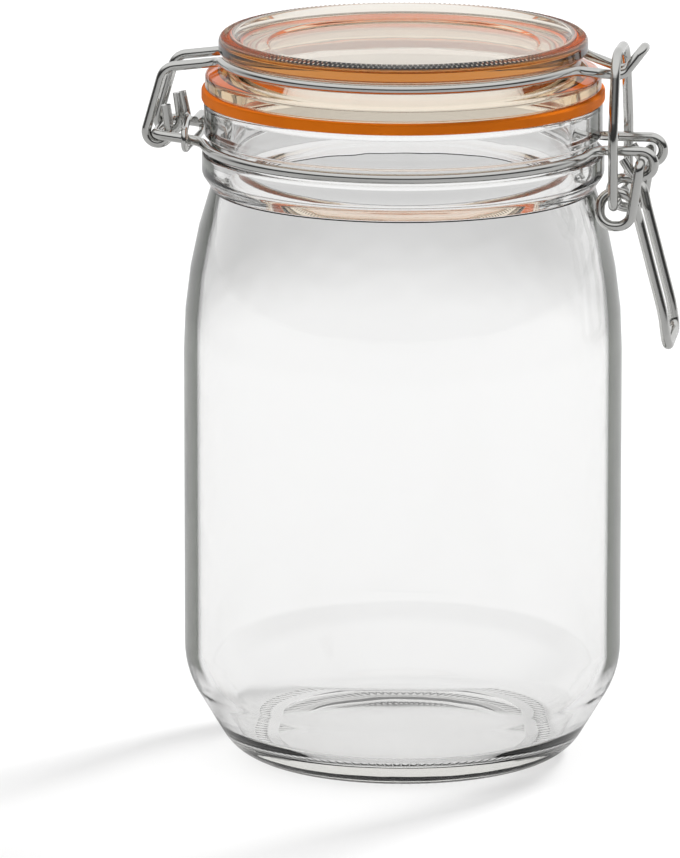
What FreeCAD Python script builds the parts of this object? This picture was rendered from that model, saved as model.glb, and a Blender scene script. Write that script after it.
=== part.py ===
import FreeCAD, Part

import math
import os

# Clip-top preserving jar: glass jar and lid, rubber ring and a toggle clamp of bent wire.
#
# Millimetres, +Z up. The origin is on the jar's axis, in the plane that it stands on.
# +X points at the clamp, -X at the hinge, and the wires are bent alike on both sides of the
# XZ plane, except that one leg of the handle ends lower than the other.

Vector = FreeCAD.Vector

# ---------------------------------------------------------------- glass jar
bore_radius = 41.2          # mouth of the jar
neck_wall = 5.5             # glass thickness of the neck, just under the carrying ledge
shoulder_width = 6.8        # the straight wall stands out past the neck by this
wall = 3.6                  # glass thickness of the wall and the shoulder
heel_wall = 5.2             # glass thickness in the heel
base_thickness = 6.0        # glass thickness at the bearing ring
heel_width = 19.5           # from the wall in to the flat ring that the jar stands on
bearing_width = 4.0
push_up = 3.4               # how far the middle of the base is raised
push_up_round = 1.5         # edge between the push-up and the bearing ring
floor_rise = 2.6            # how far the inside floor rises to its middle
push_up_share = 0.96        # share of the push-up that is one arc, the rest is straight
floor_share = 0.7           # the same of the inside floor
heel_angle = 31.0           # degrees between the heel's straight flank and the wall
heel_upper_radius = 22.5
heel_lower_radius = 12.0
heel_inner_radius = 8.0
shoulder_start = 101.0      # height where the wall starts to curve in
shoulder_rise = 40.6        # height of the shoulder, up to the neck
bore_blend_radius = 12.0
bead_width = 7.3            # thick sealing bead at the mouth, from the bore out
ledge_overhang = 0.5        # the carrying ledge under the wire groove is wider than the bead
ledge_flank = 3.4           # height of the ledge's sloping underside
ledge_height = 5.4          # straight side of the ledge
ledge_lower_round = 2.5
ledge_upper_round = 0.9
neck_groove_play = 1.5      # the groove is this much higher than the neck wire
neck_groove_depth = 1.8     # from the ledge's edge to the bottom of the groove
neck_groove_round = 0.6
bead_height = 8.6
bead_lower_round = 0.7
rim_round = 1.6
mouth_round = 1.4

# ---------------------------------------------------------------- rubber ring
ring_overhang = 0.55        # the ring stands out past the bead by this
ring_inset = 1.5            # and its hole is wider than the bore by this
ring_thickness = 2.7        # as squeezed by the clamp
ring_edge = 0.5

# ---------------------------------------------------------------- glass lid
lid_setback = 0.3           # the skirt that presses on the ring is narrower than the bead
lid_skirt_height = 3.6
lid_skirt_round = 1.5
lid_seat_round = 0.8
lid_slope_height = 2.6      # the skirt's sloping top, up to the wire groove
lid_groove_play = 0.3       # the groove is this much higher than the lid wire
lid_groove_depth = 1.9      # from the rim's edge to the bottom of the groove
lid_groove_round = 0.5
lid_step = 3.3              # the rim above the groove is narrower than the skirt
lid_flange_height = 4.4
lid_flange_round = 0.8
lid_rim_width = 3.6         # flat top of the rim
lid_rim_round = 1.9         # outer edge of the rim
lid_rim_inner_round = 1.2
lid_dish_depth = 2.1        # the top inside the rim lies lower by this
lid_dish_round = 2.4
lid_panel_margin = 12.3     # from the rim's edge in to the round panel of the top
lid_panel_depth = 0.7
lid_panel_round = 0.6
lid_thickness = 5.4         # glass thickness in the middle
lid_plug_depth = 2.0        # plug that centres the rubber ring
lid_plug_width = 3.4
lid_plug_round = 1.0
lid_plug_taper = 1.2        # the plug's inner side leans in by this
lid_hollow_round = 3.0      # between the plug and the lid's underside
plug_clearance = 0.4        # between the plug and the rubber ring

# ---------------------------------------------------------------- wires
wire = 2.4                  # diameter of the neck wire, the lid wire and the link
lever_wire = 2.5            # diameter of the lever's wire
clip_wire = 1.7             # diameter of the clip round the hinge arms
groove_clearance = 0.2      # between a wire and the bottom of its groove
wire_gap = 0.3              # between two wires that bear on each other
flare_radius = 5.0          # bend where a wire leaves its groove
flare_lead = 1.0            # straight run between the groove's circle and that bend
arc_step = 40.0             # largest turn of one corner in a long arc, in degrees

# hinge of the lid, at -X
hinge_arm = 10.8            # distance of the hinge axle from the neck wire's circle
hinge_lift = 1.9            # height of the axle above the neck groove
hinge_rise = 0.5            # height of the axle's arms where they leave the groove
hinge_corner = 2.0          # bend at the axle's ends
hinge_leave_angle = 22.0    # where the axle's arms leave the neck groove, from -X
hook_play = 0.45            # the lid wire's hooks go round the axle with this much room
hook_offset = 0.3           # the hooks' centre lies this far from the axle, towards the jar
hook_half_gap = 8.2         # the hooks' distance from the symmetry plane
hook_stub = 6.4             # straight cut end of a hook
stub_lean = 7.6             # degrees that the cut end leans away from the jar
upright_lean = 15.8         # degrees that the upright leans towards the jar
arm_bend = 4.0              # bend between the upright and the level arm
arm_drop = 2.75             # the arm's bend lies lower than the lid's groove by this
arm_dip = 1.1               # and the arm's other end by this
arm_leave_angle = 20.0      # where the arms leave the lid's groove, from -X
clip_offset = 7.7           # the clip's distance from the axle
clip_end = 6.4              # straight cut end of the clip
clip_lap = 2.4              # the clip's two ends lie side by side, this far apart
clip_end_lean = 1.4         # the cut end leans away from the jar by this
clip_end_room = 0.25        # the cut end turns up this far inside the far hook
clip_end_spread = 0.2       # the cut end leans out by this
clip_end_bend = 1.6
clip_short_end = 2.0        # the other end stops this far past the symmetry plane

# nose of the lid wire, at +X
nose_lead = 0.8             # the nose turns up this far outside the link
nose_reach = 4.8            # and its tip is this much further out
nose_drop = 2.45            # the arms fall by this from the groove to the turn
nose_dip = 0.3              # of which this much where they leave the groove
nose_rise = 6.3             # the tip stands this far above the turn
nose_root = 10.6            # half width of the arms where they leave the groove
nose_half_width = 3.9       # half width at the turn
tip_half_width = 2.2        # half width at the tip
nose_bend = 3.0
nose_leave_angle = 24.0     # where the arms leave the lid's groove, from +X

# front hooks of the neck wire, which carry the lever
lug_arm = 10.9              # distance of the hook's round end from the neck wire's circle
lug_play = 0.65             # room of the lever's pivot in that round end
lug_lift = 0.9              # height of the hooks' straight run above the neck groove
lug_half_gap = 9.2          # the hooks' distance from the symmetry plane
lug_return_angle = 34.0     # degrees between the hook's returning end and the vertical
lug_return = 3.4            # straight length of the returning end
lug_leave_angle = 19.0      # where the hooks leave the neck groove, from +X

# lever
lever_stub = 2.0            # pivot end that reaches past the hook on its inner side
pivot_bend = 1.7
eye_setback = 6.1           # the eye's middle is this much closer to the jar than the pivot
eye_drop = 11.4             # and this much lower
eye_half_width = 3.7        # centre line of the eye, along X
eye_half_height = 3.9       # and along Z
eye_corner = 3.6
coil_gap = 0.1              # between the eye's two layers of wire
handle_slope = 0.262        # how far the handle leans out for each mm that it falls
handle_top_bend = 4.5
handle_half_width = 7.9     # half the distance between the handle's legs
handle_draw_in = 7.0        # height over which the legs come together
handle_draw_bend = 6.0
handle_knee = 30.0          # height of the knee under the top of the eye
handle_knee_radius = 45.0
handle_length = 37.4        # height of the handle's tip under the top of the eye
tip_slope = 0.14            # lean of the handle below its knee
handle_corner = 3.0
handle_skew = 1.8           # one leg ends this much lower than the other

# link
crossbar_rise = 5.8         # the crossbar's height above the turn of the nose
link_lean = -0.2            # the crossbar lies this far towards the jar
link_top_half_width = 9.0
link_straight = 7.25        # the legs run straight to this far above the lever's pivot
link_side_bend = 20.0       # bend where the legs start to come together
link_top_bend = 7.5
link_foot_bend = 1.9
link_foot = 1.4             # foot that reaches past the eye on its inner side


def rounded_path(stops, closed=False):
    """Edges of straight runs joined by tangent arcs.

    Each stop is a point and the radius of the bend there. A radius of 0 leaves a sharp corner.
    Two bends that need more than the run between them share it.
    """
    points = [Vector(*point) for point, radius in stops]
    radii = [radius for point, radius in stops]
    count = len(points)
    turns, reaches = [], []
    for i in range(count):
        turn = 0
        if closed or 0 < i < count - 1:
            before = points[i] - points[i - 1]
            turn = before.getAngle(points[(i + 1) % count] - points[i])
        turns.append(turn)
        reaches.append(radii[i] * math.tan(turn / 2))
    shares = [1.0] * count
    for i in range(count if closed else count - 1):
        j = (i + 1) % count
        run = points[i].distanceToPoint(points[j])
        if reaches[i] + reaches[j] > run + 1e-6:
            share = run / (reaches[i] + reaches[j])
            shares[i] = min(shares[i], share)
            shares[j] = min(shares[j], share)

    entries, exits, middles = [], [], []
    for i in range(count):
        corner = points[i]
        if reaches[i] == 0:
            entries.append(corner)
            exits.append(corner)
            middles.append(None)
            continue
        back = (points[i - 1] - corner).normalize()
        ahead = (points[(i + 1) % count] - corner).normalize()
        reach = reaches[i] * shares[i]
        sagitta = (radii[i] / math.cos(turns[i] / 2) - radii[i]) * shares[i]
        entries.append(corner + back * reach)
        exits.append(corner + ahead * reach)
        middles.append(corner + (back + ahead).normalize() * sagitta)
    edges = []
    for i in range(count):
        if middles[i] is not None:
            edges.append(Part.Arc(entries[i], middles[i], exits[i]).toShape())
        if i == count - 1 and not closed:
            break
        start = exits[i]
        end = entries[(i + 1) % count]
        if start.distanceToPoint(end) > 1e-4:
            edges.append(Part.LineSegment(start, end).toShape())
    return edges


def revolved(profile):
    """A solid of revolution about the jar's axis, from (radius, height, corner radius) stops."""
    stops = [((radius, 0, height), corner) for radius, height, corner in profile]
    outline = Part.Wire(rounded_path(stops, closed=True))
    return Part.Face(outline).revolve(Vector(0, 0, 0), Vector(0, 0, 1), 360)


def bent_wire(stops, diameter):
    """A round wire of one diameter along a path of runs and bends, cut square at both ends."""
    path = rounded_path(stops)
    start = Vector(*stops[0][0])
    direction = Vector(*stops[1][0]) - start
    section = Part.Wire(Part.Circle(start, direction, diameter / 2).toShape())
    pipe = Part.Wire(path).makePipeShell([section], True, True)
    length = sum(edge.Length for edge in path)
    exact = math.pi * diameter ** 2 / 4 * length
    print(f"wire of {length:.1f} mm, volume {pipe.Volume / exact:.4f} of section times length")
    return pipe


def mirrored(stops):
    """The same stops on the other side of the symmetry plane, in reverse order."""
    return [((x, -y, z), radius) for (x, y, z), radius in reversed(stops)]


def arc_corners(radius, start_angle, end_angle):
    """Corners (a, b) of the polygon that a long arc about (0, 0) is inscribed in."""
    steps = math.ceil(abs(end_angle - start_angle) / arc_step)
    step = math.radians(end_angle - start_angle) / steps
    reach = radius / math.cos(step / 2)
    angles = [math.radians(start_angle) + (i + 0.5) * step for i in range(steps)]
    return [(reach * math.cos(angle), reach * math.sin(angle)) for angle in angles]


def level_arc(radius, height, start_angle, end_angle):
    """Stops of a level arc about the jar's axis."""
    corners = arc_corners(radius, start_angle, end_angle)
    return [((a, b, height), radius) for a, b in corners]


def upright_arc(centre, radius, start_angle, end_angle):
    """Stops of an arc in the XZ direction about a centre."""
    x, y, z = centre
    corners = arc_corners(radius, start_angle, end_angle)
    return [((x + a, y, z + b), radius) for a, b in corners]


def tangent_point(centre, radius, angle, run, sign):
    """A point run away from an upright arc, along its tangent at an angle.

    The sign is 1 for a tangent in the direction of growing angles, -1 for the other one.
    """
    x, y, z = centre
    turn = math.radians(angle)
    across = radius * math.cos(turn) - sign * run * math.sin(turn)
    up = radius * math.sin(turn) + sign * run * math.cos(turn)
    return (x + across, y, z + up)


def flare(radius, height, half_gap, leave_angle, sign, end_height):
    """Where a wire leaves its groove for a straight arm at half_gap from the symmetry plane.

    The wire leaves its circle at leave_angle from the X axis, on the side that sign names, and
    runs along the tangent, to end_height. Returns the stops from the circle to the arm.
    """
    angle = math.radians(leave_angle)
    x = radius * math.cos(angle)
    y = radius * math.sin(angle)
    run = (y - half_gap) / math.cos(angle)
    lead_x = sign * (x + flare_lead * math.sin(angle))
    lead_y = flare_lead * math.cos(angle) - y
    return [
        ((lead_x, lead_y, height), flare_radius),
        ((sign * (x + run * math.sin(angle)), -half_gap, end_height), flare_radius),
    ]


def dome(edge_radius, edge_height, rise, share):
    """The stop that rounds a shallow dome from its edge to the axis."""
    big_radius = (edge_radius ** 2 + rise ** 2) / (2 * rise)
    reach = big_radius * rise / edge_radius
    return (reach, edge_height + rise, big_radius * share)


# ---------------------------------------------------------------- radii and heights of the mouth
neck_radius = bore_radius + neck_wall
body_radius = neck_radius + shoulder_width
bead_radius = bore_radius + bead_width
ledge_radius = bead_radius + ledge_overhang
neck_groove_radius = ledge_radius - neck_groove_depth
neck_height = shoulder_start + shoulder_rise
ledge_bottom = neck_height + ledge_flank
ledge_top = ledge_bottom + ledge_height
neck_groove_height = wire + neck_groove_play
neck_groove_top = ledge_top + neck_groove_height
rim_height = neck_groove_top + bead_height
seat_height = rim_height + ring_thickness
neck_wire_radius = neck_groove_radius + groove_clearance + wire / 2
neck_wire_height = ledge_top + neck_groove_height / 2


def make_jar():
    """The jar: a revolved wall from the base's push-up to the bore, in one profile."""
    flank = math.radians(heel_angle)
    bearing_radius = body_radius - heel_width
    foot_corner = bearing_radius + heel_lower_radius * math.tan((math.pi / 2 - flank) / 2)
    heel_corner = (body_radius - foot_corner) / math.tan(flank)

    # the shoulder is one arc, tangent to the wall
    shoulder_radius = (shoulder_rise ** 2 + shoulder_width ** 2) / (2 * shoulder_width)
    shoulder_turn = math.asin(shoulder_rise / shoulder_radius)
    shoulder_corner = shoulder_start + shoulder_radius * math.tan(shoulder_turn / 2)

    # the inside follows the outside at the glass thickness
    inner_wall = body_radius - wall
    inner_shoulder = shoulder_radius - wall
    inner_corner = shoulder_start + inner_shoulder * math.tan(shoulder_turn / 2)
    blend_corner = inner_corner + (inner_wall - bore_radius) / math.tan(shoulder_turn)

    # the heel's inner flank lies heel_wall inside the outer one
    flank_radius = foot_corner - heel_wall / math.cos(flank)
    inner_heel = (inner_wall - flank_radius) / math.tan(flank)
    floor_radius = flank_radius + base_thickness * math.tan(flank)

    return revolved([
        (0, push_up, 0),
        dome(bearing_radius - bearing_width, 0, push_up, push_up_share),
        (bearing_radius - bearing_width, 0, push_up_round),
        (foot_corner, 0, heel_lower_radius),
        (body_radius, heel_corner, heel_upper_radius),
        (body_radius, shoulder_corner, shoulder_radius),
        (neck_radius, neck_height, 0),
        (ledge_radius, ledge_bottom, ledge_lower_round),
        (ledge_radius, ledge_top, ledge_upper_round),
        (neck_groove_radius, ledge_top, neck_groove_round),
        (neck_groove_radius, neck_groove_top, neck_groove_round),
        (bead_radius, neck_groove_top, bead_lower_round),
        (bead_radius, rim_height, rim_round),
        (bore_radius, rim_height, mouth_round),
        (bore_radius, blend_corner, bore_blend_radius),
        (inner_wall, inner_corner, inner_shoulder),
        (inner_wall, inner_heel, heel_upper_radius - wall),
        (floor_radius, base_thickness, heel_inner_radius),
        dome(floor_radius, base_thickness, floor_rise, floor_share),
        (0, base_thickness + floor_rise, 0),
    ])


ring_inner_radius = bore_radius + ring_inset
ring_outer_radius = bead_radius + ring_overhang


def make_rubber_ring():
    """The flat rubber ring between the jar's rim and the lid."""
    return revolved([
        (ring_inner_radius, rim_height, ring_edge),
        (ring_outer_radius, rim_height, ring_edge),
        (ring_outer_radius, seat_height, ring_edge),
        (ring_inner_radius, seat_height, ring_edge),
    ])


# ---------------------------------------------------------------- radii and heights of the lid
lid_radius = bead_radius - lid_setback
lid_flange_radius = lid_radius - lid_step
skirt_top = seat_height + lid_skirt_height
lid_groove_bottom = skirt_top + lid_slope_height
lid_groove_height = wire + lid_groove_play
lid_groove_top = lid_groove_bottom + lid_groove_height
rim_top = lid_groove_top + lid_flange_height
panel_height = rim_top - lid_dish_depth
lid_groove_radius = lid_flange_radius - lid_groove_depth
lid_wire_radius = lid_groove_radius + groove_clearance + wire / 2
lid_wire_height = lid_groove_bottom + lid_groove_height / 2


def make_lid():
    """The pressed glass lid: skirt, wire groove, rim and dished top, with a plug below."""
    plug_radius = ring_inner_radius - plug_clearance
    plug_inner = plug_radius - lid_plug_width
    plug_bottom = seat_height - lid_plug_depth
    underside = panel_height - lid_panel_depth - lid_thickness
    rim_inner = lid_flange_radius - lid_rim_width
    panel_radius = lid_flange_radius - lid_panel_margin
    return revolved([
        (0, underside, 0),
        (plug_inner - lid_plug_taper, underside, lid_hollow_round),
        (plug_inner, plug_bottom, lid_plug_round),
        (plug_radius, plug_bottom, lid_plug_round),
        (plug_radius, seat_height, 0),
        (lid_radius, seat_height, lid_seat_round),
        (lid_radius, skirt_top, lid_skirt_round),
        (lid_groove_radius, lid_groove_bottom, lid_groove_round),
        (lid_groove_radius, lid_groove_top, lid_groove_round),
        (lid_flange_radius, lid_groove_top, lid_flange_round),
        (lid_flange_radius, rim_top, lid_rim_round),
        (rim_inner, rim_top, lid_rim_inner_round),
        (rim_inner - lid_dish_depth, panel_height, lid_dish_round),
        (panel_radius + lid_panel_depth, panel_height, lid_panel_round),
        (panel_radius, panel_height - lid_panel_depth, lid_panel_round),
        (0, panel_height - lid_panel_depth, 0),
    ])


# ---------------------------------------------------------------- the hinge
hinge_reach = neck_wire_radius + hinge_arm
axle_height = neck_wire_height + hinge_lift
hinge_half_gap = hook_half_gap + wire + wire_gap
hook_radius = wire + hook_play

# ---------------------------------------------------------------- the clamp
bearing = (wire + lever_wire) / 2 + wire_gap
lug_radius = (wire + lever_wire) / 2 + lug_play
pivot_x = neck_wire_radius + lug_arm
pivot_height = neck_wire_height + lug_lift - bearing
arm_half_gap = lug_half_gap + bearing
leg_half_gap = arm_half_gap - lever_wire - coil_gap
eye_x = pivot_x - eye_setback
eye_height = pivot_height - eye_drop
link_pin_height = eye_height + eye_half_height - bearing
link_half_gap = arm_half_gap + bearing
nose_turn = lid_wire_height - nose_drop


def make_lid_wire():
    """The wire round the lid: hooks on the hinge axle, a ring in the lid's groove, a nose."""
    level = lid_wire_height
    hook_height = axle_height - wire - wire_gap + hook_radius
    hook = (hook_offset - hinge_reach, -hook_half_gap, hook_height)
    last_angle = -180 - upright_lean
    bend_height = level - arm_drop
    foot = tangent_point(hook, hook_radius, last_angle, 0, -1)
    upright = (bend_height - foot[2]) / math.cos(math.radians(upright_lean))
    nose_x = eye_x + nose_lead
    arm = flare(lid_wire_radius, level, hook_half_gap, arm_leave_angle, -1, level - arm_dip)
    side = [(tangent_point(hook, hook_radius, stub_lean, hook_stub, 1), 0)]
    side += upright_arc(hook, hook_radius, stub_lean, last_angle)
    side += [(tangent_point(hook, hook_radius, last_angle, upright, -1), arm_bend)]
    side += reversed(arm)
    side += level_arc(lid_wire_radius, level, 180 + arm_leave_angle, 360 - nose_leave_angle)
    side += flare(lid_wire_radius, level, nose_root, nose_leave_angle, 1, level - nose_dip)
    side += [
        ((nose_x, -nose_half_width, nose_turn), nose_bend),
        ((nose_x + nose_reach, -tip_half_width, nose_turn + nose_rise), tip_half_width),
    ]
    return bent_wire(side + mirrored(side), wire)


def make_neck_wire():
    """The wire round the neck: hooks for the lever in front, the hinge axle behind."""
    level = neck_wire_height
    run = level + lug_lift
    centre = (pivot_x, -lug_half_gap, run - lug_radius)
    first_angle = lug_return_angle - 180
    lug = flare(neck_wire_radius, level, lug_half_gap, lug_leave_angle, 1, run)
    side = [(tangent_point(centre, lug_radius, first_angle, lug_return, -1), 0)]
    side += upright_arc(centre, lug_radius, first_angle, 90)
    side += reversed(lug)
    side += level_arc(neck_wire_radius, level, -lug_leave_angle, hinge_leave_angle - 180)
    side += flare(
        neck_wire_radius, level, hinge_half_gap, hinge_leave_angle, -1, level + hinge_rise)
    side += [((-hinge_reach, -hinge_half_gap, axle_height), hinge_corner)]
    return bent_wire(side + mirrored(side), wire)


def make_clip():
    """The open wire clip that holds the two hinge arms together."""
    x = -hinge_reach + clip_offset
    end_x = x - clip_lap
    fall = (hinge_lift - hinge_rise) * clip_offset / (hinge_reach - neck_wire_radius)
    z = axle_height - fall
    reach = (wire + clip_wire) / 2 + wire_gap
    top = z + reach
    width = hinge_half_gap + reach
    turn = hook_half_gap - (wire + clip_wire) / 2 - clip_end_room
    return bent_wire([
        ((end_x - clip_end_lean, turn + clip_end_spread, top + clip_end), 0),
        ((end_x, turn, top), clip_end_bend),
        ((x, -width, top), reach),
        ((x, -width, z - reach), reach),
        ((x, width, z - reach), reach),
        ((x, width, top), reach),
        ((x, clip_short_end, top), 0),
    ], clip_wire)


def lever_side(skew):
    """One side of the lever, from its pivot end through the arm and the eye to the handle."""
    left = eye_x - eye_half_width
    right = eye_x + eye_half_width
    low = eye_height - eye_half_height
    top = eye_height + eye_half_height
    knee_x = right + handle_knee * handle_slope
    tip_x = knee_x + (handle_length - handle_knee) * tip_slope
    draw_x = right + handle_draw_in * handle_slope
    return [
        ((pivot_x, -lug_half_gap + wire / 2 + lever_stub, pivot_height), 0),
        ((pivot_x, -arm_half_gap, pivot_height), pivot_bend),
        ((right, -arm_half_gap, low), eye_corner),
        ((left, -arm_half_gap, low), eye_corner),
        ((left, -leg_half_gap, top), eye_corner),
        ((right, -leg_half_gap, top), handle_top_bend),
        ((draw_x, -handle_half_width, top - handle_draw_in), handle_draw_bend),
        ((knee_x, -handle_half_width, top - handle_knee), handle_knee_radius),
        ((tip_x, -handle_half_width, top - handle_length - skew / 2), handle_corner),
    ]


def make_lever():
    """The lever, one wire: two pivot ends, two eyes for the link and the handle's loop."""
    return bent_wire(lever_side(handle_skew) + mirrored(lever_side(-handle_skew)), lever_wire)


def make_link():
    """The link, one wire: two feet in the lever's eyes and an arch over the nose."""
    x = eye_x
    top = nose_turn + crossbar_rise
    bend_height = pivot_height + link_straight
    bend_x = x + link_lean * (bend_height - link_pin_height) / (top - link_pin_height)
    foot_end = leg_half_gap - lever_wire / 2 - link_foot
    side = [
        ((x, -foot_end, link_pin_height), 0),
        ((x, -link_half_gap, link_pin_height), link_foot_bend),
        ((bend_x, -link_half_gap, bend_height), link_side_bend),
        ((x + link_lean, -link_top_half_width, top), link_top_bend),
    ]
    return bent_wire(side + mirrored(side), wire)


NODES = {
    "glass_jar": make_jar,
    "rubber_ring": make_rubber_ring,
    "glass_lid": make_lid,
    "lid_wire": make_lid_wire,
    "neck_wire": make_neck_wire,
    "wire_clip": make_clip,
    "lever": make_lever,
    "link": make_link,
}

print(f"lever pivot at X {pivot_x:.2f}, Z {pivot_height:.2f}")
print(f"link hinge at X {eye_x:.2f}, Z {link_pin_height:.2f}")
os.makedirs("parts", exist_ok=True)
for name, make in NODES.items():
    solid = make()
    if not solid.Solids:
        solid = Part.makeSolid(solid)
    print(f"{name}: valid {solid.isValid()}, solids {len(solid.Solids)}, {solid.Volume:.0f} mm3")
    solid.exportStep(f"parts/{name}.step")
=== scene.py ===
# %% [markdown]
# # A clip-top preserving jar
# The jar is a pressed glass body with a glass lid, a flat rubber ring between them, and a toggle
# clamp of bent wire. Clear glass shows nothing of its own: what is seen is how it bends the light
# round it, with painted shade added at its grazing edges and a painted orange glow in the lid. So
# the turned pieces are made here as fine meshes with exact normals, while the wires
# are right as the CAD model has them and only get their metal.

# %% The frame
import math

import bpy
import numpy as np
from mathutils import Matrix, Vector


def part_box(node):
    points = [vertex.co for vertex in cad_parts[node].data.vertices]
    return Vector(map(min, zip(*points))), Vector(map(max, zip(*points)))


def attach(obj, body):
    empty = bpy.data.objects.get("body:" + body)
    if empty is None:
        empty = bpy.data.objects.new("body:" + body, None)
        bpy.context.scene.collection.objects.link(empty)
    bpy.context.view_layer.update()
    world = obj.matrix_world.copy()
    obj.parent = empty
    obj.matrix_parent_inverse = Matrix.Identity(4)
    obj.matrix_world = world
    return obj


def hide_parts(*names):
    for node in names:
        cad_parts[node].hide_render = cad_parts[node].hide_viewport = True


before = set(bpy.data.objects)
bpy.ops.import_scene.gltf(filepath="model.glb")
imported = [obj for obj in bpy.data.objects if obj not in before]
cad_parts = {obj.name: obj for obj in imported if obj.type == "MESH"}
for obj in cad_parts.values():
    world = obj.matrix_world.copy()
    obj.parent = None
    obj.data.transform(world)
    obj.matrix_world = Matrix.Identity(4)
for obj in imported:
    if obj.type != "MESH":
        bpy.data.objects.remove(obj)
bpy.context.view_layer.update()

MM = 0.001

# %% [markdown]
# ## Sizes
# The heights come from the CAD nodes' boxes, so the glass meets the rubber and the wires without any fitting.
# The outer radii are given in millimetres, and the jar's largest radius from its box is printed beside them.
# The corner radii and the inside of the glass can't be read from a box.
# They are named here in millimetres, as a mould maker would write them.

# %% Heights and radii from the frame
def reach(node):
    """The largest radius of a turned node, in mm."""
    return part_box(node)[1].y / MM


def bottom(node):
    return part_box(node)[0].z / MM


def top(node):
    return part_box(node)[1].z / MM


body_radius = 53.5
rim_height = top("glass_jar")
seat_height = top("rubber_ring")
lid_top = top("glass_lid")
print(f"jar {reach('glass_jar'):.2f} x {rim_height:.2f}, ring seat {seat_height:.2f}, lid top {lid_top:.2f}")

# %% [markdown]
# ## Turned outlines
# A pressed jar is a solid of revolution, so one outline in radius and height says all of it.
# The outline is a list of corners, each with the radius of its rounding. Blender could round
# it with a bevel, but then the shading normals would be guesses, and glass shows every guess as
# a ripple. Here each arc gives its own points and their exact directions.

# %% Rounded outline
def rounded(corners, turn_step=5.0):
    """Points and outward normals along an outline of (radius, height, rounding) corners."""
    points = [Vector((radius, height)) for radius, height, rounding in corners]
    count = len(points)
    places, normals = [], []

    def add(place, direction):
        places.append(place)
        normals.append(Vector((direction.y, -direction.x)))

    for i in range(count):
        if i in (0, count - 1):
            along = points[1] - points[0] if i == 0 else points[-1] - points[-2]
            add(points[i], along.normalized())
            continue
        before = (points[i] - points[i - 1]).normalized()
        after = (points[i + 1] - points[i]).normalized()
        turn = math.atan2(before.x * after.y - before.y * after.x, before.dot(after))
        radius = max(corners[i][2], smallest_rounding)
        cut = radius * math.tan(abs(turn) / 2)
        start = points[i] - before * cut
        side = math.copysign(1, turn)
        centre = start + Vector((-before.y, before.x)) * radius * side
        steps = max(2, math.ceil(math.degrees(abs(turn)) / turn_step))
        for k in range(steps + 1):
            angle = turn * k / steps
            c, s = math.cos(angle), math.sin(angle)
            arm = start - centre
            add(centre + Vector((c * arm.x - s * arm.y, s * arm.x + c * arm.y)),
                Vector((c * before.x - s * before.y, s * before.x + c * before.y)))
    return np.array(places), np.array(normals)


smallest_rounding = 0.25


def finer(outline, low, high, step):
    """The outline with its runs between two corners of a window cut into steps for a relief."""
    places, normals = outline
    new_places, new_normals = [places[0]], [normals[0]]
    for i in range(1, len(places)):
        middle = (places[i] + places[i - 1]) / 2
        pieces = 1
        if np.all(middle >= low) and np.all(middle <= high):
            pieces = math.ceil(np.linalg.norm(places[i] - places[i - 1]) / step)
        for k in range(1, pieces + 1):
            new_places.append(places[i - 1] + (places[i] - places[i - 1]) * k / pieces)
            new_normals.append(normals[i - 1] + (normals[i] - normals[i - 1]) * k / pieces)
    return np.array(new_places), np.array(new_normals)

# %% [markdown]
# The outline is then turned about the jar's axis. A relief, such as a row of beads, is a height
# map over the outline and the angle. It moves each point along its normal, and the slope of the
# same map tilts the normal, so the relief is real geometry with exact shading.

# %% Turning an outline
def turned(name, outline, coarse_sides, relief, fine=1):
    """A mesh of an outline turned about Z, with fine times more sides where the relief is.

    relief(radius, height, angle) gives mm along the normal."""
    sides = coarse_sides * fine
    places, normals = outline
    radius, height = places[:, 0], places[:, 1]
    angles = np.arange(sides) * 2 * math.pi / sides
    raised = relief(radius[:, None], height[:, None], angles[None, :])
    along = np.concatenate([[0], np.cumsum(np.hypot(np.diff(radius), np.diff(height)))])
    slope_along = np.gradient(raised, along, axis=0)
    slope_round = (np.roll(raised, -1, 1) - np.roll(raised, 1, 1)) * sides / (4 * math.pi)
    slope_round /= np.maximum(radius[:, None], 1e-3)
    out = np.stack([normals[:, 0][:, None] * np.ones(sides), normals[:, 1][:, None] * np.ones(sides)])
    forward = np.stack([-out[1], out[0]])
    flat_normal = out - forward * slope_along
    r = radius[:, None] + raised * out[0]
    z = height[:, None] + raised * out[1]
    c, s = np.cos(angles), np.sin(angles)
    vertices = np.stack([r * c, r * s, z], -1)
    tilt = -slope_round
    directions = np.stack(
        [flat_normal[0] * c - tilt * s, flat_normal[0] * s + tilt * c, flat_normal[1]], -1)
    directions /= np.linalg.norm(directions, axis=-1, keepdims=True)
    busy = np.abs(raised).max(1) > 0
    busy[1:] |= busy[:-1].copy()
    busy[:-1] |= busy[1:].copy()
    index = np.arange(len(radius) * sides).reshape(len(radius), sides)
    rings = [row if full else row[::fine] for row, full in zip(index, busy)]
    faces = []
    for low, high, low_radius, high_radius in zip(rings, rings[1:], radius, radius[1:]):
        faces += band(low, high, low_radius < 1e-6, high_radius < 1e-6)
    return solid_mesh(name, vertices.reshape(-1, 3), directions.reshape(-1, 3), faces)


def band(low, high, low_on_axis, high_on_axis):
    """The faces between two rings of points, which may differ in number by a whole factor."""
    if low_on_axis:
        return np.stack([np.full(len(high), low[0]), np.roll(high, -1), high], -1).tolist()
    if high_on_axis:
        return np.stack([low, np.roll(low, -1), np.full(len(low), high[0])], -1).tolist()
    segments = min(len(low), len(high))
    below, above = len(low) // segments, len(high) // segments
    lower = [np.roll(low, -k)[::below] for k in range(below + 1)]
    upper = [np.roll(high, -k)[::above] for k in range(above, -1, -1)]
    return np.stack(lower + upper, -1).tolist()


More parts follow.
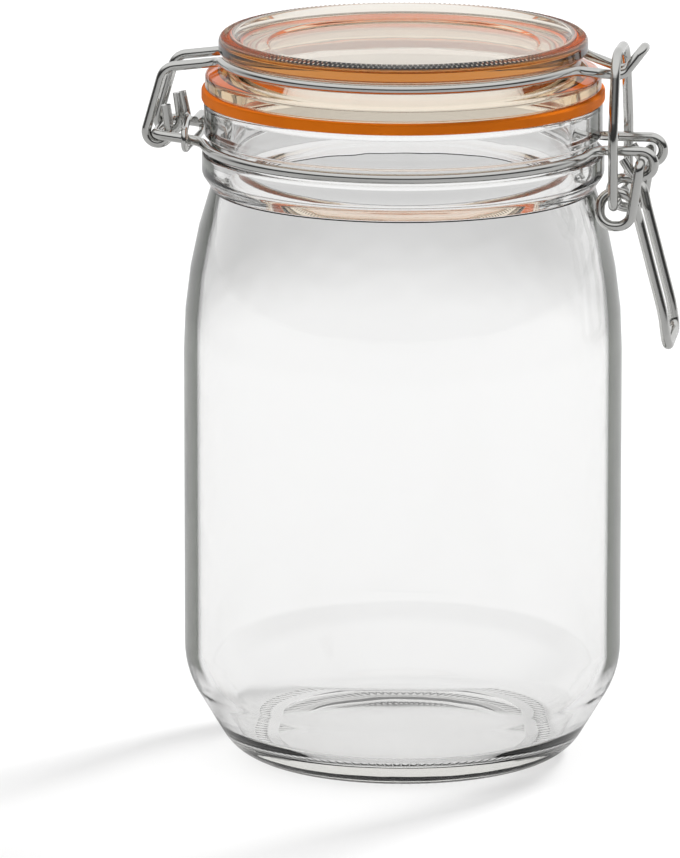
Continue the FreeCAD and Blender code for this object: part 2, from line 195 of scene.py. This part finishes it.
def solid_mesh(name, vertices, directions, faces):
    """An object from arrays in mm, without unused points, shaded by the given normals."""
    used = np.zeros(len(vertices), bool)
    used[np.concatenate([np.array(f) for f in faces])] = True
    renumber = np.cumsum(used) - 1
    faces = [[int(renumber[v]) for v in face] for face in faces]
    mesh = bpy.data.meshes.new(name)
    mesh.from_pydata((vertices[used] * MM).tolist(), [], faces)
    mesh.polygons.foreach_set("use_smooth", [True] * len(faces))
    mesh.normals_split_custom_set_from_vertices(directions[used].tolist())
    mesh.update()
    piece = bpy.data.objects.new(name, mesh)
    bpy.context.scene.collection.objects.link(piece)
    print(f"{name}: {len(mesh.vertices)} points, {len(faces)} faces, size "
          + " x ".join(f"{d / MM:.1f}" for d in piece.dimensions) + " mm")
    return piece


def dome(edge_radius, edge_height, rise, share):
    """The corner that rounds a shallow dome from its edge to the axis."""
    big_radius = (edge_radius ** 2 + rise ** 2) / (2 * rise)
    return (big_radius * rise / edge_radius, edge_height + rise, big_radius * share)

# %% [markdown]
# ## The glass jar
# ...

# %% Outline of the jar
wall = 3.6
heel_wall = 3.8
base_thickness = 6.0
bearing_radius = 34.0
bearing_width = 4.0
push_up = 3.4
floor_rise = 2.6
heel_angle = math.radians(31.0)
heel_lower_radius = 12.0
heel_upper_radius = 22.5
heel_inner_radius = 8.0
shoulder_start = 101.0
neck_radius = 46.7
neck_height = 141.6
bore_radius = 41.2
ledge_radius = 49.0
ledge_top = rim_height - 12.5
ledge_bottom = ledge_top - 5.4
groove_radius = 47.2
bead_bottom = rim_height - 8.6
bead_radius = 48.5
bedding = 0.03

foot_corner = bearing_radius + heel_lower_radius * math.tan((math.pi / 2 - heel_angle) / 2)
heel_corner = (body_radius - foot_corner) / math.tan(heel_angle)
drop = body_radius - neck_radius
shoulder_radius = ((neck_height - shoulder_start) ** 2 + drop ** 2) / (2 * drop)
shoulder_turn = math.asin((neck_height - shoulder_start) / shoulder_radius)
inner_wall = body_radius - wall
inner_shoulder = shoulder_radius - wall
inner_corner = shoulder_start + inner_shoulder * math.tan(shoulder_turn / 2)
blend_corner = inner_corner + (inner_wall - bore_radius) / math.tan(shoulder_turn)
flank_radius = foot_corner - heel_wall / math.cos(heel_angle)
inner_heel = (inner_wall - flank_radius) / math.tan(heel_angle)
floor_radius = flank_radius + base_thickness * math.tan(heel_angle)

jar_outline = rounded([
    (0, push_up, 0),
    dome(bearing_radius - bearing_width, 0, push_up, 0.96),
    (bearing_radius - bearing_width, 0, 1.5),
    (foot_corner, 0, heel_lower_radius),
    (body_radius, heel_corner, heel_upper_radius),
    (body_radius, shoulder_start + shoulder_radius * math.tan(shoulder_turn / 2), shoulder_radius),
    (neck_radius, neck_height, 0.6),
    (ledge_radius, ledge_bottom, 2.5),
    (ledge_radius, ledge_top, 0.9),
    (groove_radius, ledge_top, 0.6),
    (groove_radius, bead_bottom, 0.6),
    (bead_radius, bead_bottom, 0.7),
    (bead_radius, rim_height + bedding, 1.6),
    (bore_radius, rim_height + bedding, 1.4),
    (bore_radius, blend_corner, 12.0),
    (inner_wall, inner_corner, inner_shoulder),
    (inner_wall, inner_heel, heel_upper_radius - wall),
    (floor_radius, base_thickness, heel_inner_radius),
    dome(floor_radius, base_thickness, floor_rise, 0.7),
    (0, base_thickness + floor_rise, 0),
])
knurl_ribs = 110
knurl_radius = 35.4
knurl_reach = 2.2
knurl_depth = 0.6


def knurl(radius, height, angle):
    """Radial ribs round the foot, cut into the glass."""
    window = np.clip(1 - ((radius - knurl_radius) / knurl_reach) ** 2, 0, 1) * (height < 3)
    return -knurl_depth * window * (0.5 - 0.5 * np.cos(angle * knurl_ribs)) ** 0.7


jar_outline = finer(jar_outline, (32, -0.5), (39, 3), 0.4)
jar = turned("pressed_jar", jar_outline, knurl_ribs * 2, knurl, fine=4)

# %% Outline of the lid
lid_radius = 48.2
skirt_top = seat_height + 3.6
lid_groove_bottom = skirt_top + 2.6
lid_groove_top = lid_groove_bottom + 2.7
flange_radius = 44.9
lid_groove_radius = 43.0
rim_inner = flange_radius - 3.6
panel_height = lid_top - 2.1
underside = panel_height - 0.7 - 5.4
plug_radius = 42.3
plug_inner = 38.9
plug_bottom = seat_height - 2.0

lid_outline = rounded([
    (0, underside, 0),
    (plug_inner - 1.2, underside, 3.0),
    (plug_inner, plug_bottom, 1.0),
    (plug_radius, plug_bottom, 1.0),
    (plug_radius, seat_height - bedding, 0.25),
    (lid_radius, seat_height - bedding, 0.8),
    (lid_radius, skirt_top, 1.5),
    (lid_groove_radius, lid_groove_bottom, 0.5),
    (lid_groove_radius, lid_groove_top, 0.5),
    (flange_radius, lid_groove_top, 0.8),
    (flange_radius, lid_top, 1.9),
    (rim_inner, lid_top, 1.2),
    (rim_inner - 2.1, panel_height, 2.4),
    (33.3, panel_height, 0.6),
    (32.6, panel_height - 0.7, 0.6),
    (0, panel_height - 0.7, 0),
])
bead_count = 216
bead_circle = 43.2
bead_reach = 1.3
bead_depth = 0.5


def beads(radius, height, angle):
    """The gaps between the beads on the lid's rim."""
    window = np.clip(1 - ((radius - bead_circle) / bead_reach) ** 2, 0, 1) * (height > panel_height)
    return -bead_depth * window * (0.5 - 0.5 * np.cos(angle * bead_count)) ** 0.7


lid_outline = finer(lid_outline, (41.5, panel_height), (45.0, lid_top + 1), 0.2)
lid = turned("pressed_lid", lid_outline, bead_count, beads, fine=6)

# %% Materials
def new_material(name):
    material = bpy.data.materials.new(name)
    material.use_nodes = True
    nodes = material.node_tree.nodes
    nodes.clear()
    return material, nodes, material.node_tree.links


def glass_material(name, tint_and_painted_glow, density, ior, edge_shade_colour, ripple_strength):
    material, nodes, links = new_material(name)
    output = nodes.new("ShaderNodeOutputMaterial")
    glass = nodes.new("ShaderNodeBsdfPrincipled")
    # Painted shade: where the outer walls face outward, their colour turns to the dark edge shade colour when
    # seen at a grazing angle. This stands in for the dark room that the glass edges bend into view.
    edge = nodes.new("ShaderNodeLayerWeight")
    edge.inputs["Blend"].default_value = 0.5
    tone = nodes.new("ShaderNodeValToRGB")
    tone.color_ramp.elements[0].position = 0.62
    tone.color_ramp.elements[0].color = (1, 1, 1, 1)
    tone.color_ramp.elements[1].position = 0.67
    tone.color_ramp.elements[1].color = (*edge_shade_colour, 1)
    surface = nodes.new("ShaderNodeNewGeometry")
    flat = nodes.new("ShaderNodeVectorMath")
    flat.operation = "MULTIPLY"
    flat.inputs[1].default_value = (1, 1, 0)
    radial = nodes.new("ShaderNodeVectorMath")
    radial.operation = "NORMALIZE"
    raised = nodes.new("ShaderNodeVectorMath")
    raised.operation = "ADD"
    raised.inputs[1].default_value = (0, 0, 0.35)
    outward = nodes.new("ShaderNodeVectorMath")
    outward.operation = "DOT_PRODUCT"
    outside = nodes.new("ShaderNodeMapRange")
    outside.inputs["From Min"].default_value = 0.85
    outside.inputs["From Max"].default_value = 0.95
    painted_edge_shade = nodes.new("ShaderNodeMix")
    painted_edge_shade.data_type = "RGBA"
    painted_edge_shade.inputs["A"].default_value = (1, 1, 1, 1)
    links.new(surface.outputs["Position"], flat.inputs[0])
    links.new(flat.outputs["Vector"], radial.inputs[0])
    links.new(radial.outputs["Vector"], raised.inputs[0])
    links.new(raised.outputs["Vector"], outward.inputs[0])
    links.new(surface.outputs["Normal"], outward.inputs[1])
    links.new(outward.outputs["Value"], outside.inputs["Value"])
    links.new(edge.outputs["Facing"], tone.inputs["Fac"])
    links.new(outside.outputs["Result"], painted_edge_shade.inputs["Factor"])
    links.new(tone.outputs["Color"], painted_edge_shade.inputs["B"])
    links.new(painted_edge_shade.outputs["Result"], glass.inputs["Base Color"])
    glass.inputs["Transmission Weight"].default_value = 1
    glass.inputs["Roughness"].default_value = 0.0
    glass.inputs["IOR"].default_value = ior
    place = nodes.new("ShaderNodeTexCoord")
    ripple = nodes.new("ShaderNodeTexNoise")
    ripple.inputs["Scale"].default_value = 45
    ripple.inputs["Detail"].default_value = 2
    bump = nodes.new("ShaderNodeBump")
    bump.inputs["Strength"].default_value = ripple_strength
    bump.inputs["Distance"].default_value = 0.001
    links.new(place.outputs["Object"], ripple.inputs["Vector"])
    links.new(ripple.outputs["Fac"], bump.inputs["Height"])
    links.new(bump.outputs["Normal"], glass.inputs["Normal"])
    path = nodes.new("ShaderNodeLightPath")
    clear = nodes.new("ShaderNodeBsdfTransparent")
    facing = nodes.new("ShaderNodeLayerWeight")
    facing.inputs["Blend"].default_value = 0.35
    shade = nodes.new("ShaderNodeValToRGB")
    shade.color_ramp.elements[0].position = 0.3
    shade.color_ramp.elements[0].color = (0.98, 0.98, 0.98, 1)
    shade.color_ramp.elements[1].position = 0.7
    shade.color_ramp.elements[1].color = (0.25, 0.25, 0.25, 1)
    links.new(facing.outputs["Facing"], shade.inputs["Fac"])
    links.new(shade.outputs["Color"], clear.inputs["Color"])
    mix = nodes.new("ShaderNodeMixShader")
    links.new(path.outputs["Is Shadow Ray"], mix.inputs["Fac"])
    links.new(glass.outputs["BSDF"], mix.inputs[1])
    links.new(clear.outputs["BSDF"], mix.inputs[2])
    links.new(mix.outputs["Shader"], output.inputs["Surface"])
    # The absorption colour is the jar glass's own faint tint; for the lid it is painted light, the orange glow of
    # the ring.
    soak = nodes.new("ShaderNodeVolumeAbsorption")
    soak.inputs["Color"].default_value = (*tint_and_painted_glow, 1)
    soak.inputs["Density"].default_value = density
    links.new(soak.outputs["Volume"], output.inputs["Volume"])
    return material


# The jar's tint is the glass's own faint colour. The lid's warm orange tint is painted light, standing in for the
# glow of the rubber ring carried through the lid glass. Both edge colours are painted shade.
jar_glass = glass_material("jar_glass", (0.84, 0.835, 0.80), 14, 1.51, (0.028, 0.032, 0.025), 0.12)
lid_glass = glass_material("lid_glass", (0.92, 0.745, 0.46), 60, 1.51, (0.3, 0.25, 0.15), 0.02)


def steel_material(name):
    material, nodes, links = new_material(name)
    output = nodes.new("ShaderNodeOutputMaterial")
    steel = nodes.new("ShaderNodeBsdfPrincipled")
    steel.inputs["Base Color"].default_value = (0.58, 0.58, 0.565, 1)
    steel.inputs["Metallic"].default_value = 1
    place = nodes.new("ShaderNodeTexCoord")
    grime = nodes.new("ShaderNodeTexNoise")
    grime.inputs["Scale"].default_value = 350
    grime.inputs["Detail"].default_value = 4
    rough = nodes.new("ShaderNodeMapRange")
    rough.inputs["To Min"].default_value = 0.04
    rough.inputs["To Max"].default_value = 0.18
    links.new(place.outputs["Object"], grime.inputs["Vector"])
    links.new(grime.outputs["Fac"], rough.inputs["Value"])
    links.new(rough.outputs["Result"], steel.inputs["Roughness"])
    links.new(steel.outputs["BSDF"], output.inputs["Surface"])
    return material


def rubber_material(name):
    material, nodes, links = new_material(name)
    output = nodes.new("ShaderNodeOutputMaterial")
    rubber = nodes.new("ShaderNodeBsdfPrincipled")
    rubber.inputs["Roughness"].default_value = 0.55
    rubber.inputs["Specular IOR Level"].default_value = 0.08
    place = nodes.new("ShaderNodeTexCoord")
    cloud = nodes.new("ShaderNodeTexNoise")
    cloud.inputs["Scale"].default_value = 90
    ramp = nodes.new("ShaderNodeValToRGB")
    ramp.color_ramp.elements[0].color = (0.56, 0.12, 0.002, 1)
    ramp.color_ramp.elements[1].color = (0.68, 0.165, 0.004, 1)
    links.new(place.outputs["Object"], cloud.inputs["Vector"])
    links.new(cloud.outputs["Fac"], ramp.inputs["Fac"])
    links.new(ramp.outputs["Color"], rubber.inputs["Base Color"])
    links.new(rubber.outputs["BSDF"], output.inputs["Surface"])
    return material


steel = steel_material("bright_steel")
rubber = rubber_material("orange_rubber")


def dress(piece, material):
    piece.data.materials.clear()
    piece.data.materials.append(material)


dress(jar, jar_glass)
dress(lid, lid_glass)
for node in ("lid_wire", "neck_wire", "wire_clip", "lever", "link"):
    dress(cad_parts[node], steel)
dress(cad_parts["rubber_ring"], rubber)

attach(jar, "jar")
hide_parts("glass_jar")
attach(lid, "jar")
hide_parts("glass_lid")

# %% Studio
def studio_floor():
    mesh = bpy.data.meshes.new("floor")
    half = 8.0
    mesh.from_pydata([(-half, -half, 0), (half, -half, 0), (half, half, 0), (-half, half, 0)], [], [(0, 1, 2, 3)])
    floor = bpy.data.objects.new("floor", mesh)
    bpy.context.scene.collection.objects.link(floor)
    material, nodes, links = new_material("white_table")
    output = nodes.new("ShaderNodeOutputMaterial")
    matt = nodes.new("ShaderNodeBsdfDiffuse")
    glow = nodes.new("ShaderNodeEmission")
    path = nodes.new("ShaderNodeLightPath")
    place = nodes.new("ShaderNodeTexCoord")
    # Painted shade: seen through the glass the table is darkened by 0.16 within 0.5 m of the middle, rising to
    # 0.46 beyond 0.7 m.
    far = nodes.new("ShaderNodeVectorMath")
    far.operation = "LENGTH"
    fade = nodes.new("ShaderNodeMapRange")
    fade.interpolation_type = "SMOOTHSTEP"
    fade.inputs["From Min"].default_value = 0.5
    fade.inputs["From Max"].default_value = 0.7
    fade.inputs["To Min"].default_value = 0.16
    fade.inputs["To Max"].default_value = 0.46
    links.new(place.outputs["Object"], far.inputs[0])
    links.new(far.outputs["Value"], fade.inputs["Value"])
    through = nodes.new("ShaderNodeMath")
    through.operation = "MULTIPLY"
    links.new(fade.outputs["Result"], through.inputs[0])
    links.new(path.outputs["Is Transmission Ray"], through.inputs[1])
    # Painted shade: seen in mirrors the table is darkened by 0.45.
    mirrored = nodes.new("ShaderNodeMath")
    mirrored.operation = "SUBTRACT"
    mirrored.use_clamp = True
    links.new(path.outputs["Is Glossy Ray"], mirrored.inputs[0])
    links.new(path.outputs["Is Transmission Ray"], mirrored.inputs[1])
    painted_shade = nodes.new("ShaderNodeMath")
    painted_shade.operation = "MULTIPLY_ADD"
    painted_shade.inputs[1].default_value = 0.45
    links.new(mirrored.outputs[0], painted_shade.inputs[0])
    links.new(through.outputs[0], painted_shade.inputs[2])
    tone = nodes.new("ShaderNodeMath")
    tone.operation = "SUBTRACT"
    tone.inputs[0].default_value = 1
    links.new(painted_shade.outputs[0], tone.inputs[1])
    white_and_painted_shade = nodes.new("ShaderNodeMath")
    white_and_painted_shade.operation = "MULTIPLY"
    white_and_painted_shade.inputs[1].default_value = 0.8
    links.new(tone.outputs[0], white_and_painted_shade.inputs[0])
    links.new(white_and_painted_shade.outputs[0], matt.inputs["Color"])
    links.new(tone.outputs[0], glow.inputs["Strength"])
    # The glow keeps the table white where the camera sees it; seen through the glass it carries the painted
    # shade.
    mix = nodes.new("ShaderNodeMixShader")
    seen = nodes.new("ShaderNodeMath")
    seen.operation = "MAXIMUM"
    links.new(path.outputs["Is Camera Ray"], seen.inputs[0])
    links.new(path.outputs["Is Transmission Ray"], seen.inputs[1])
    share = nodes.new("ShaderNodeMath")
    share.operation = "MULTIPLY"
    share.inputs[1].default_value = 0.45
    links.new(seen.outputs[0], share.inputs[0])
    links.new(share.outputs[0], mix.inputs["Fac"])
    links.new(matt.outputs["BSDF"], mix.inputs[1])
    links.new(glow.outputs["Emission"], mix.inputs[2])
    links.new(mix.outputs["Shader"], output.inputs["Surface"])
    floor.data.materials.append(material)
    return floor


studio_floor()

world = bpy.data.worlds.new("studio")
bpy.context.scene.world = world
world.use_nodes = True
nodes = world.node_tree.nodes
links = world.node_tree.links
nodes.clear()
output = nodes.new("ShaderNodeOutputWorld")
sky = nodes.new("ShaderNodeBackground")
white = nodes.new("ShaderNodeBackground")
white.inputs["Strength"].default_value = 1
mix = nodes.new("ShaderNodeMixShader")
path = nodes.new("ShaderNodeLightPath")
place = nodes.new("ShaderNodeTexCoord")
split = nodes.new("ShaderNodeSeparateXYZ")
ramp = nodes.new("ShaderNodeValToRGB")
ramp.color_ramp.elements[0].position = 0.0
ramp.color_ramp.elements[0].color = (0.03, 0.03, 0.03, 1)
ramp.color_ramp.elements[1].position = 0.33
ramp.color_ramp.elements[1].color = (0.05, 0.05, 0.05, 1)
overhead = ramp.color_ramp.elements.new(0.55)
overhead.color = (0.72, 0.72, 0.72, 1)
links.new(place.outputs["Generated"], split.inputs["Vector"])
links.new(split.outputs["Z"], ramp.inputs["Fac"])
backdrop = nodes.new("ShaderNodeMapRange")
backdrop.inputs["From Min"].default_value = 0.1
backdrop.inputs["From Max"].default_value = 0.7
wall_side = nodes.new("ShaderNodeMix")
wall_side.data_type = "RGBA"
wall_side.inputs["B"].default_value = (0.9, 0.9, 0.9, 1)
links.new(split.outputs["Y"], backdrop.inputs["Value"])
links.new(backdrop.outputs["Result"], wall_side.inputs["Factor"])
links.new(wall_side.outputs["Result"], sky.inputs["Color"])
mirrored = nodes.new("ShaderNodeMath")
mirrored.operation = "SUBTRACT"
mirrored.use_clamp = True
brighter = nodes.new("ShaderNodeMath")
brighter.operation = "MULTIPLY_ADD"
brighter.inputs[1].default_value = 0.4
brighter.inputs[2].default_value = 1
links.new(path.outputs["Is Glossy Ray"], mirrored.inputs[0])
links.new(path.outputs["Is Transmission Ray"], mirrored.inputs[1])
links.new(mirrored.outputs[0], brighter.inputs[0])
shine = nodes.new("ShaderNodeVectorMath")
shine.operation = "SCALE"
links.new(ramp.outputs["Color"], shine.inputs[0])
links.new(brighter.outputs[0], shine.inputs["Scale"])
links.new(shine.outputs["Vector"], wall_side.inputs["A"])
links.new(path.outputs["Is Camera Ray"], mix.inputs["Fac"])
links.new(sky.outputs["Background"], mix.inputs[1])
links.new(white.outputs["Background"], mix.inputs[2])
links.new(mix.outputs["Shader"], output.inputs["Surface"])


def softbox(name, azimuth, elevation, distance, width, height, watts, in_metal):
    data = bpy.data.lights.new(name, "AREA")
    data.shape = "RECTANGLE"
    data.size, data.size_y, data.energy = width, height, watts
    lamp = bpy.data.objects.new(name, data)
    a, e = math.radians(azimuth), math.radians(elevation)
    away = Vector((math.sin(a) * math.cos(e), -math.cos(a) * math.cos(e), math.sin(e)))
    lamp.location = Vector((0, 0, 0.09)) + away * distance
    lamp.rotation_euler = away.to_track_quat("Z", "Y").to_euler()
    lamp.visible_transmission = False
    lamp.visible_glossy = in_metal
    bpy.context.scene.collection.objects.link(lamp)
    return lamp


softbox("key", 147, 38, 5, 1.1, 1.1, 300, False)
softbox("side", -60, 35, 4, 1.2, 2.5, 34, False)

# %% Camera
def camera():
    data = bpy.data.cameras.new("camera")
    data.sensor_width = 36
    data.lens = 411.36
    lens_object = bpy.data.objects.new("camera", data)
    bpy.context.scene.collection.objects.link(lens_object)
    bpy.context.scene.camera = lens_object
    a, e = math.radians(9), math.radians(12.6)
    away = Vector((math.sin(a) * math.cos(e), -math.cos(a) * math.cos(e), math.sin(e)))
    lens_object.location = Vector((-0.01518, -0.00241, 0.0805)) + away * 2.4
    lens_object.rotation_euler = away.to_track_quat("Z", "Y").to_euler()
    data.clip_end = 100


camera()
bpy.context.scene.view_settings.view_transform = "Standard"
